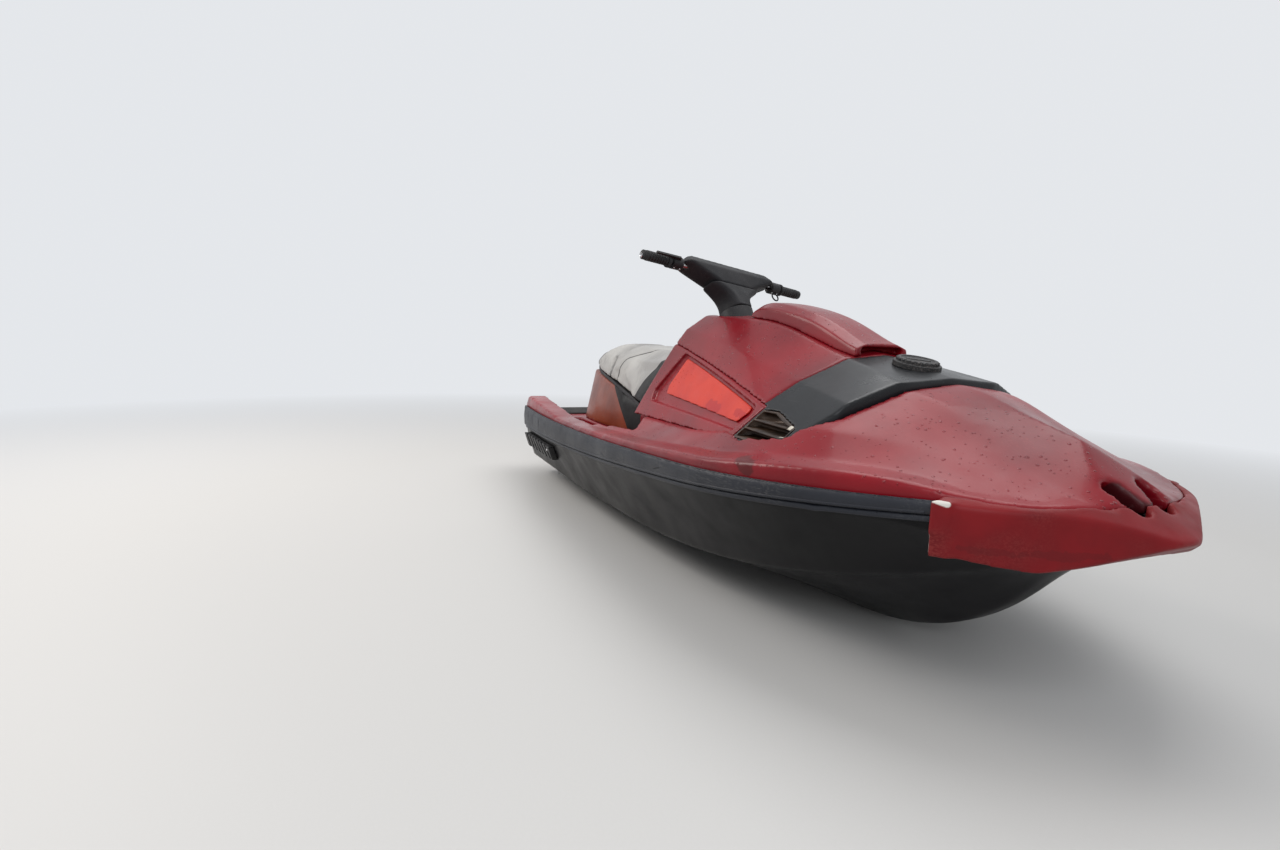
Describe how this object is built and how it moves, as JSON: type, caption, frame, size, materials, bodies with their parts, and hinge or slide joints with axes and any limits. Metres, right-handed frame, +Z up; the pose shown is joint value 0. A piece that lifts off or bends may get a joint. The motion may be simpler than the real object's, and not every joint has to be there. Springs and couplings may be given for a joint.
{
  "type": "personal watercraft",
  "caption": "Three-seat runabout personal watercraft with steerable handlebar, jet pump with impeller, turning nozzle and lowering reverse bucket.",
  "frame": {"origin": "on the floor, half way along the craft, on its centre plane", "axes": "+X forward, +Y to port, +Z up"},
  "size_m": [3.12, 1.22, 1.1042],
  "materials": {
    "hull_black": "black gelcoat, worn",
    "deck_red": "red gelcoat, damp and scratched",
    "rail_grey": "dark grey rubber",
    "bumper_red": "red moulded bumper, scratched and scuffed",
    "insert_orange": "orange-red, blotched low down",
    "band_black": "black gelcoat",
    "duct_gold": "brown gold",
    "trim_black": "black moulded plastic",
    "pad_rubber": "black padding",
    "grip_rubber": "black rubber",
    "steel": "stainless",
    "seat_vinyl": "silver-grey vinyl",
    "pedestal_copper": "copper",
    "engine_alloy": "plain block",
    "mat_rubber": "ribbed mat",
    "jet_alloy": "cast, sea-worn"
  },
  "bodies": {
    "craft": {"hull": "hull_black", "deck": "deck_red", "stern_deck": "deck_red", "gunwale_port": "deck_red", "gunwale_starboard": "deck_red", "footwell_port": "deck_red", "footwell_starboard": "deck_red", "rub_rail_port": "rail_grey", "rub_rail_starboard": "rail_grey", "bow_bumper": "bumper_red", "side_panel_port": "deck_red", "side_panel_starboard": "deck_red", "panel_insert_port": "insert_orange", "panel_insert_starboard": "insert_orange", "black_band": "band_black", "air_duct_port": "duct_gold", "air_duct_starboard": "duct_gold", "cowl": "deck_red", "centre_pod": "deck_red", "filler_cap": "trim_black", "steering_collar": "trim_black", "seat_front": "seat_vinyl", "seat_rear": "seat_vinyl", "seat_tray": "trim_black", "seat_pedestal": "pedestal_copper", "seat_latch": "trim_black", "engine": "engine_alloy", "footwell_mat_port": "mat_rubber", "footwell_mat_starboard": "mat_rubber", "platform_mat": "mat_rubber", "grab_handle": "trim_black", "sponson_port": "trim_black", "sponson_starboard": "trim_black", "ride_plate": "jet_alloy", "intake_grate": "jet_alloy", "pump_housing": "jet_alloy", "tow_bars": "steel", "stern_eyes": "steel", "drain_plugs": "trim_black"},
    "steering": {"steering_neck": "pad_rubber", "steering_stem": "steel", "handlebar": "steel", "handlebar_pad": "pad_rubber", "grip_port": "grip_rubber", "grip_starboard": "grip_rubber", "throttle_box": "trim_black", "switch_box": "trim_black", "throttle_lever": "trim_black", "control_loops": "grip_rubber"},
    "nozzle": {"steering_nozzle": "jet_alloy"},
    "impeller": {"impeller": "steel"},
    "reverse_gate": {"reverse_bucket": "jet_alloy"}
  },
  "joints": [
    {"name": "steering_turn", "type": "hinge", "parent": "craft", "child": "steering", "pos_m": [-0.12, 0, 0.877], "axis": [-0.5, 0, 0.866], "range_deg": [-48, 22]},
    {"name": "nozzle_turn", "type": "hinge", "parent": "craft", "child": "nozzle", "pos_m": [-1.368, 0, 0.138], "axis": [0, 0, 1], "range_deg": [-13.2, 28.8]},
    {"name": "impeller_spin", "type": "hinge", "parent": "craft", "child": "impeller", "pos_m": [-1.172, 0, 0.138], "axis": [1, 0, 0], "continuous": true},
    {"name": "reverse_swing", "type": "hinge", "parent": "craft", "child": "reverse_gate", "pos_m": [-1.314, 0, 0.138], "axis": [0, -1, 0], "range_deg": [0, 48]}
  ],
  "couplings": [
    {"joint": "nozzle_turn", "follows": "steering_turn", "ratio": -0.6}
  ]
}
